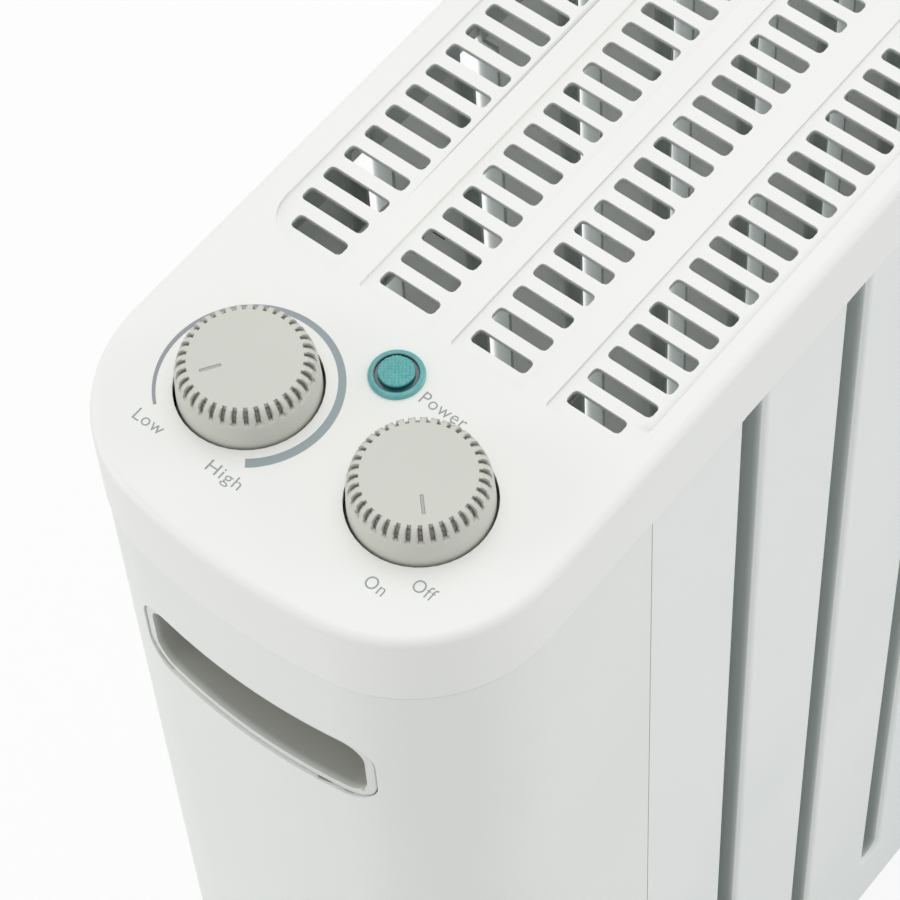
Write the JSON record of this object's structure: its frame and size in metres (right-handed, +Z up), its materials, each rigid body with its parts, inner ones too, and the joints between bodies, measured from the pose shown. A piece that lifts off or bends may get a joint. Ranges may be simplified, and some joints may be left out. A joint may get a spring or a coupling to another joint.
{
  "type": "oil-free radiator heater",
  "caption": "Slim oil-free convector radiator on castors, with slotted top, vented side panels, hand holds, thermostat dial, power knob and lamp.",
  "frame": {"origin": "middle of the heater's outline, on the floor under its castors", "axes": "+X runs along the heater, away from the control end; -Y is the long face seen in the picture; +Z is up"},
  "size_m": [0.5518, 0.25, 0.5602],
  "materials": {
    "cover_plastic": "fine satin moulding, off-white",
    "shell_plastic": "fine satin moulding, off-white",
    "panel_paint": "satin powder coat on steel sheet, off-white",
    "cup_plastic": "satin moulding, pale grey",
    "frame_steel": "plain zinc-coated sheet, grey",
    "knob_plastic": "satin moulding, warm pale grey",
    "bright_steel": "bright plated steel",
    "dark_plastic": "black moulding",
    "tread_plastic": "black wheel moulding with a firm tread",
    "wire_rubber": "black flexible sleeve",
    "pale_plastic": "glazed ceramic and pale heat-proof moulding",
    "fin_aluminium": "extruded aluminium",
    "lens_plastic": "clear teal lens with a fine diamond pattern"
  },
  "bodies": {
    "casing": {"top_cover": "cover_plastic", "control_end_cover": "shell_plastic", "far_end_cover": "shell_plastic", "front_panel": "panel_paint", "rear_panel": "panel_paint", "control_grip_cup": "cup_plastic", "far_grip_cup": "cup_plastic", "base_pan": "frame_steel", "control_partition": "frame_steel", "far_partition": "frame_steel", "middle_stay": "frame_steel", "control_bracket": "frame_steel", "cutout_bracket": "frame_steel", "thermostat_unit": "dark_plastic", "power_switch": "dark_plastic", "spindle_nuts": "bright_steel", "lamp_lens": "lens_plastic", "lamp_holder": "pale_plastic", "front_element_fins": "fin_aluminium", "rear_element_fins": "fin_aluminium", "front_element_rod": "bright_steel", "rear_element_rod": "bright_steel", "ceramic_bushes": "pale_plastic", "overheat_cutout": "dark_plastic", "tilt_switch": "dark_plastic", "terminal_block": "pale_plastic", "wiring_loom": "wire_rubber", "wire_clips": "pale_plastic", "cord_gland": "wire_rubber", "control_foot": "shell_plastic", "far_foot": "shell_plastic", "end_cover_screws": "bright_steel", "foot_screws": "bright_steel", "frame_screws": "bright_steel", "bracket_screws": "bright_steel", "cover_screws": "bright_steel"},
    "thermostat_dial": {"thermostat_knob": "knob_plastic", "thermostat_spindle": "bright_steel"},
    "power_dial": {"power_knob": "knob_plastic", "power_spindle": "bright_steel"},
    "control_front_castor": {"control_front_fork": "dark_plastic"},
    "control_rear_castor": {"control_rear_fork": "dark_plastic"},
    "far_front_castor": {"far_front_fork": "dark_plastic"},
    "far_rear_castor": {"far_rear_fork": "dark_plastic"},
    "control_front_wheel_set": {"control_front_wheels": "tread_plastic", "control_front_axle": "bright_steel"},
    "control_rear_wheel_set": {"control_rear_wheels": "tread_plastic", "control_rear_axle": "bright_steel"},
    "far_front_wheel_set": {"far_front_wheels": "tread_plastic", "far_front_axle": "bright_steel"},
    "far_rear_wheel_set": {"far_rear_wheels": "tread_plastic", "far_rear_axle": "bright_steel"}
  },
  "joints": [
    {"name": "thermostat_turn", "type": "hinge", "parent": "casing", "child": "thermostat_dial", "pos_m": [-0.2305, 0.0278, 0.548], "axis": [0, 0, 1], "range_deg": [-280, 0]},
    {"name": "power_turn", "type": "hinge", "parent": "casing", "child": "power_dial", "pos_m": [-0.2305, -0.0278, 0.548], "axis": [0, 0, 1], "range_deg": [-32, 0]},
    {"name": "control_front_swivel", "type": "hinge", "parent": "casing", "child": "control_front_castor", "pos_m": [-0.23, -0.096, 0.048], "axis": [0, 0, 1], "continuous": true},
    {"name": "control_rear_swivel", "type": "hinge", "parent": "casing", "child": "control_rear_castor", "pos_m": [-0.23, 0.096, 0.048], "axis": [0, 0, 1], "continuous": true},
    {"name": "far_front_swivel", "type": "hinge", "parent": "casing", "child": "far_front_castor", "pos_m": [0.23, -0.096, 0.048], "axis": [0, 0, 1], "continuous": true},
    {"name": "far_rear_swivel", "type": "hinge", "parent": "casing", "child": "far_rear_castor", "pos_m": [0.23, 0.096, 0.048], "axis": [0, 0, 1], "continuous": true},
    {"name": "control_front_roll", "type": "hinge", "parent": "control_front_castor", "child": "control_front_wheel_set", "pos_m": [-0.218, -0.096, 0.02], "axis": [0, 1, 0], "continuous": true},
    {"name": "control_rear_roll", "type": "hinge", "parent": "control_rear_castor", "child": "control_rear_wheel_set", "pos_m": [-0.218, 0.096, 0.02], "axis": [0, 1, 0], "continuous": true},
    {"name": "far_front_roll", "type": "hinge", "parent": "far_front_castor", "child": "far_front_wheel_set", "pos_m": [0.242, -0.096, 0.02], "axis": [0, 1, 0], "continuous": true},
    {"name": "far_rear_roll", "type": "hinge", "parent": "far_rear_castor", "child": "far_rear_wheel_set", "pos_m": [0.242, 0.096, 0.02], "axis": [0, 1, 0], "continuous": true}
  ]
}
